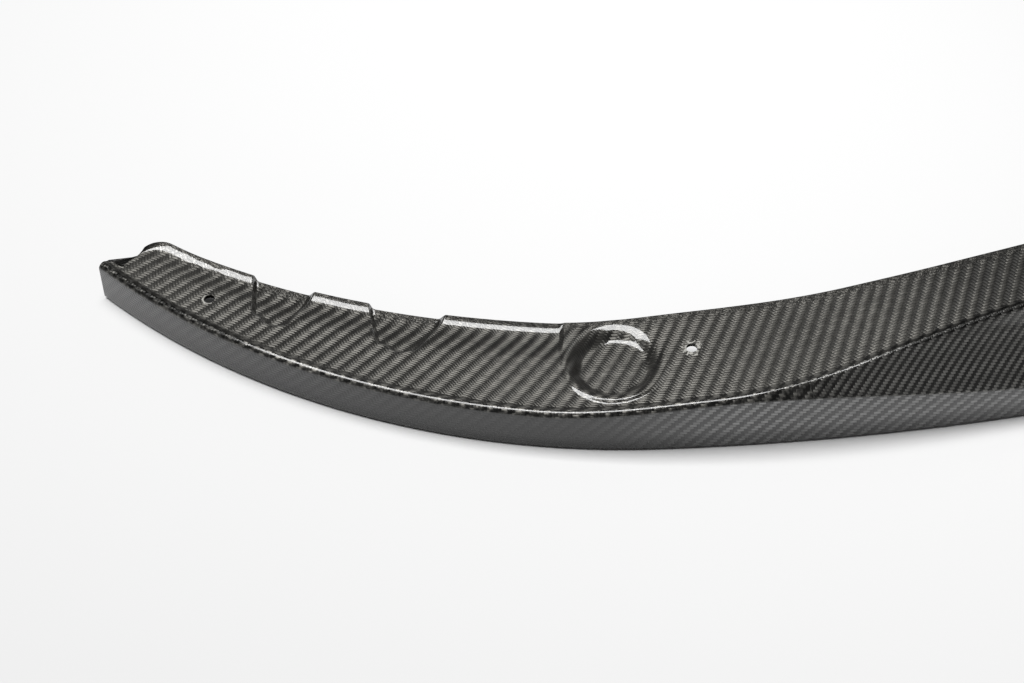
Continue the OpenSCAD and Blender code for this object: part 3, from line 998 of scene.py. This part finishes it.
def carbon_material():
    material = bpy.data.materials.new("carbon_laminate")
    material.use_nodes = True
    material.node_tree.nodes.clear()
    g = Nodes(material.node_tree)
    at = g.add("ShaderNodeTexCoord").outputs["Object"]
    x, _, height = g.parts(at)
    out = g.math("ABSOLUTE", x)
    _, _, normal_z = g.parts(g.add("ShaderNodeNewGeometry").outputs["Normal"])
    weave = twill(g, normal_z, out)
    zones = masks(g, weave, normal_z, out, height)
    chips = all_chips(g, at)
    tangent = g.add("ShaderNodeTangent", direction_type="UV_MAP", uv_map="cloth").outputs[0]

    shader = g.add("ShaderNodeBsdfPrincipled")
    g.join(g.mix(chips, cloth_colour(g, weave, zones, at), CHIP_COLOUR, "RGBA"), shader.inputs["Base Color"])
    g.join(g.mix(chips, *METAL), shader.inputs["Metallic"])
    g.join(g.mix(chips, *ROUGHNESS), shader.inputs["Roughness"])
    shader.inputs["Anisotropic"].default_value = ANISOTROPY
    g.join(g.mix(weave["cross"], *STREAK_TURN), shader.inputs["Anisotropic Rotation"])
    g.join(tangent, shader.inputs["Tangent"])
    g.join(g.bump(weave["height"], CLOTH_BUMP[0], CLOTH_BUMP[1] * MM), shader.inputs["Normal"])
    g.join(g.line(zones["dim_crest"], -DIM_CREST_COAT_LOSS, 1.0), shader.inputs["Coat Weight"])
    shader.inputs["Coat Roughness"].default_value = COAT_ROUGHNESS
    shader.inputs["Coat IOR"].default_value = COAT_IOR
    coat = g.bump(coat_height(g, weave, zones, at), COAT_BUMP[0], COAT_BUMP[1] * MM)
    g.join(coat, shader.inputs["Coat Normal"])
    surface = g.add("ShaderNodeOutputMaterial")
    g.join(shader.outputs[0], surface.inputs["Surface"])
    return material


def make_lip():
    shell = bpy.data.objects.new("lip_shell", build_shell())
    bpy.context.scene.collection.objects.link(shell)
    cut_holes(shell)
    shell.data.shade_smooth()
    shell.data.set_sharp_from_angle(angle=SHARP_FROM)
    smooth_top(shell.data)
    shell.data.materials.clear()
    shell.data.materials.append(carbon_material())
    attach(shell, "root")
    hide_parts("splitter_lip")
    return shell


# Floor: how pale it is to the left and from the middle on, and between which places it changes
FLOOR_PALE = ((0.545, 0.545, 0.545, 1.0), (0.755, 0.755, 0.755, 1.0))
FLOOR_CHANGE = (-1.1, 0.0)
FLOOR_SIZE = 30.0
FLOOR_Z = -0.0002
FLOOR_ROUGHNESS = 0.9


def make_floor():
    """A plain pale floor, a little paler where the softbox reaches it less."""
    bpy.ops.mesh.primitive_plane_add(size=FLOOR_SIZE, location=(0, 0, FLOOR_Z))
    floor = bpy.context.object
    floor.name = "studio_floor"
    material = bpy.data.materials.new("floor_pale")
    material.use_nodes = True
    g = Nodes(material.node_tree)
    x, _, _ = g.parts(g.add("ShaderNodeTexCoord").outputs["Object"])
    shader = material.node_tree.nodes["Principled BSDF"]
    shader.inputs["Roughness"].default_value = FLOOR_ROUGHNESS
    g.join(g.mix(g.ramp(x, *FLOOR_CHANGE), *FLOOR_PALE, "RGBA"), shader.inputs["Base Color"])
    floor.data.materials.append(material)


# Camera: direction that it looks from, the floor point that it aims at and its focal length
CAMERA_AZIMUTH = math.radians(-24.0)
CAMERA_ELEVATION = math.radians(49.13)
CAMERA_DISTANCE = 1.0669
CAMERA_AIM = (-0.5921, 0.0360, 0.0)
FOCAL_PIXELS = 1800.0
SENSOR_W = 36.0


def make_camera():
    data = bpy.data.cameras.new("camera")
    data.sensor_width = SENSOR_W
    data.lens = FOCAL_PIXELS / IMAGE_W * SENSOR_W
    camera = bpy.data.objects.new("camera", data)
    a, e = CAMERA_AZIMUTH, CAMERA_ELEVATION
    back = Vector((math.sin(a) * math.cos(e), -math.cos(a) * math.cos(e), math.sin(e)))
    camera.location = Vector(CAMERA_AIM) + back * CAMERA_DISTANCE
    camera.rotation_euler = back.to_track_quat("Z", "Y").to_euler()
    bpy.context.scene.collection.objects.link(camera)
    bpy.context.scene.camera = camera


# The softbox: its place, its size, its light and the strength of the room's fill
SOFTBOX_AT = Vector((-0.99, 0.39, 1.94))
SOFTBOX_SIZE = (1.6, 1.0)
SOFTBOX_WATTS = 66.0
FILL = 0.12


def make_lights():
    world = bpy.data.worlds.new("studio")
    bpy.context.scene.world = world
    world.use_nodes = True
    world.node_tree.nodes["Background"].inputs["Color"].default_value = (1, 1, 1, 1)
    world.node_tree.nodes["Background"].inputs["Strength"].default_value = FILL
    data = bpy.data.lights.new("softbox", "AREA")
    data.shape = "RECTANGLE"
    data.size, data.size_y = SOFTBOX_SIZE
    data.energy = SOFTBOX_WATTS
    light = bpy.data.objects.new("softbox", data)
    back = (SOFTBOX_AT - Vector(CAMERA_AIM)).normalized()
    side = Vector((math.cos(CAMERA_AZIMUTH), math.sin(CAMERA_AZIMUTH), 0.0))
    side = (side - side.dot(back) * back).normalized()
    up = back.cross(side)
    light.matrix_world = Matrix((side, up, back)).transposed().to_4x4()
    light.location = SOFTBOX_AT
    bpy.context.scene.collection.objects.link(light)


def main():
    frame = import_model()
    make_camera()
    make_floor()
    make_lights()
    make_lip()
    bpy.context.scene.view_settings.view_transform = "Standard"
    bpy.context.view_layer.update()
    return frame


frame = main()
